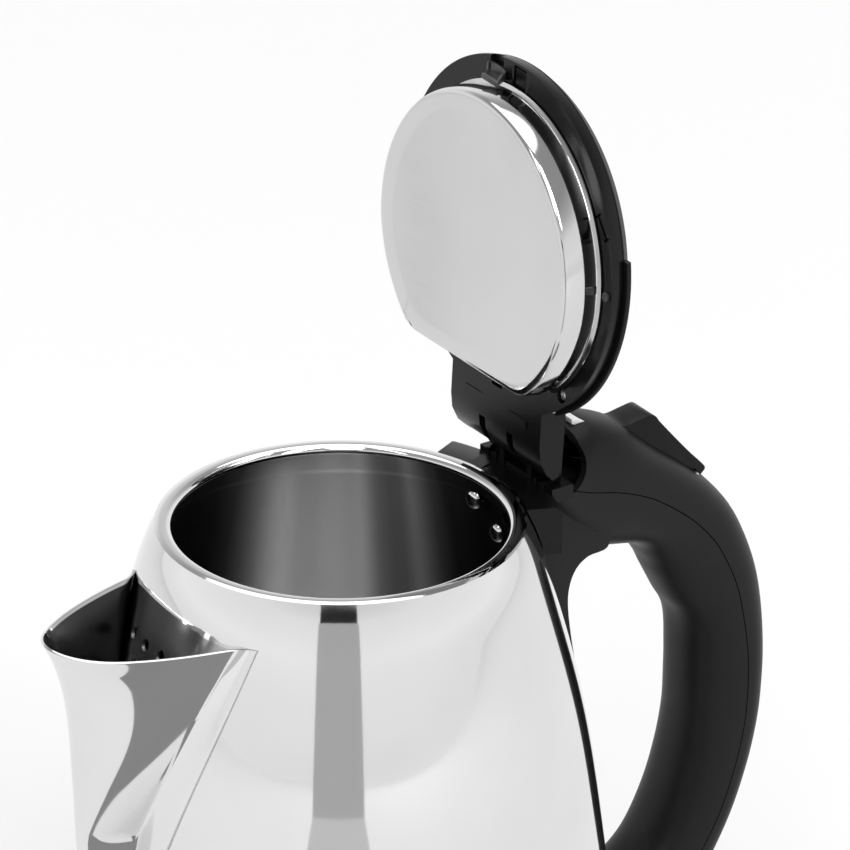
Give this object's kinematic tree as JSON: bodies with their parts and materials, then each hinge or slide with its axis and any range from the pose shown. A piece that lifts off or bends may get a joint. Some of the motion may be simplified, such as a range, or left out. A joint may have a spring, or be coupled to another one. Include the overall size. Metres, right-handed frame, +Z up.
{
  "type": "electric kettle",
  "caption": "Polished steel cordless kettle on its power base, with welded pouring spout, curved black handle and hinged lid standing open.",
  "frame": {"origin": "on the kettle's vertical axis, at the surface the power base stands on", "axes": "+Z up, spout towards -X, handle towards +X, the object is symmetric left to right about Y = 0"},
  "size_m": [0.2511, 0.1728, 0.3379],
  "materials": {
    "polished_steel": "stainless steel polished to a near mirror, with faint polishing lines",
    "brushed_steel": "satin stainless steel with fine brushing",
    "bare_aluminium": "rolled, bare",
    "zinc_screw": "zinc plated",
    "contact_brass": "plated contact metal",
    "black_satin_plastic": "black, fine moulded grain with a soft satin sheen",
    "black_gloss_plastic": "black, smooth moulded",
    "foot_rubber": "dark grey, matt",
    "silicone": "translucent milky silicone",
    "wire_insulation": "brown insulation",
    "white_label": "plain white film, no print",
    "red_lens": "translucent red"
  },
  "bodies": {
    "power_base": {"power_base_shell": "black_satin_plastic", "power_base_cover": "black_satin_plastic", "base_screw_1": "zinc_screw", "base_screw_2": "zinc_screw", "base_screw_3": "zinc_screw", "base_foot_1": "foot_rubber", "base_foot_2": "foot_rubber", "base_foot_3": "foot_rubber", "cord_gland": "black_gloss_plastic", "connector_post": "black_gloss_plastic", "earth_pin": "contact_brass", "live_contact_ring": "contact_brass", "supply_wires": "wire_insulation"},
    "coupler": {"coupler_socket": "black_gloss_plastic"},
    "kettle": {"steel_body": "polished_steel", "spout": "polished_steel", "body_rivet_1": "polished_steel", "body_rivet_2": "polished_steel", "body_rivet_3": "polished_steel", "body_rivet_4": "polished_steel", "heating_plate": "brushed_steel", "seal_ring": "silicone", "heat_spreader": "bare_aluminium", "heating_element": "brushed_steel", "thermostat_control": "black_gloss_plastic", "base_skirt": "black_satin_plastic", "underside_cover": "black_satin_plastic", "underside_screw_1": "zinc_screw", "underside_screw_2": "zinc_screw", "underside_screw_3": "zinc_screw", "handle_upper_shell": "black_satin_plastic", "handle_lower_grip": "black_satin_plastic", "hinge_collar": "black_gloss_plastic", "hinge_pin": "brushed_steel", "lid_torsion_spring": "brushed_steel", "blank_badge": "white_label", "steam_tube": "silicone", "button_pivot_pin": "brushed_steel", "button_spring": "brushed_steel", "switch_pivot_pin": "brushed_steel"},
    "lid": {"lid_frame": "black_gloss_plastic", "lid_cover": "black_satin_plastic", "lid_inner_pan": "polished_steel"},
    "lid_latch": {"lid_latch_bar": "black_gloss_plastic", "lid_latch_spring": "brushed_steel"},
    "release_button": {"lid_release_button": "black_satin_plastic"},
    "release_link": {"release_slider": "black_gloss_plastic"},
    "power_switch": {"switch_lever": "black_satin_plastic", "indicator_lens": "red_lens"}
  },
  "joints": [
    {"name": "base_lift", "type": "slide", "parent": "power_base", "child": "coupler", "axis": [0, 0, 1], "range_m": [0, 0.05]},
    {"name": "base_swivel", "type": "hinge", "parent": "coupler", "child": "kettle", "pos_m": [0, 0, 0.02], "axis": [0, 0, 1], "continuous": true},
    {"name": "lid_hinge", "type": "hinge", "parent": "kettle", "child": "lid", "pos_m": [0.0652, 0, 0.2179], "axis": [0, -1, 0], "range_deg": [0, 94.7], "stiffness_Nm_per_rad": 0.05, "springref_deg": -20.05},
    {"name": "lid_latch_slide", "type": "slide", "parent": "lid", "child": "lid_latch", "axis": [-0.0819, 0, -0.9966], "range_m": [0, 0.0025]},
    {"name": "lid_release", "type": "hinge", "parent": "kettle", "child": "release_button", "pos_m": [0.1229, 0, 0.1901], "axis": [0, -1, 0], "range_deg": [0, 4.5], "stiffness_Nm_per_rad": 0.9, "deforming": ["button_spring"]},
    {"name": "release_link_slide", "type": "slide", "parent": "kettle", "child": "release_link", "axis": [-1, 0, 0], "range_m": [0, 0.0025]},
    {"name": "power_switch_lever", "type": "hinge", "parent": "kettle", "child": "power_switch", "pos_m": [0.084, 0, 0.0274], "axis": [0, 1, 0], "range_deg": [0, 8]}
  ],
  "couplings": [
    {"joint": "lid_latch_slide", "follows": "lid_release", "m_per_rad": 0.0318},
    {"joint": "release_link_slide", "follows": "lid_release", "m_per_rad": 0.0318}
  ]
}
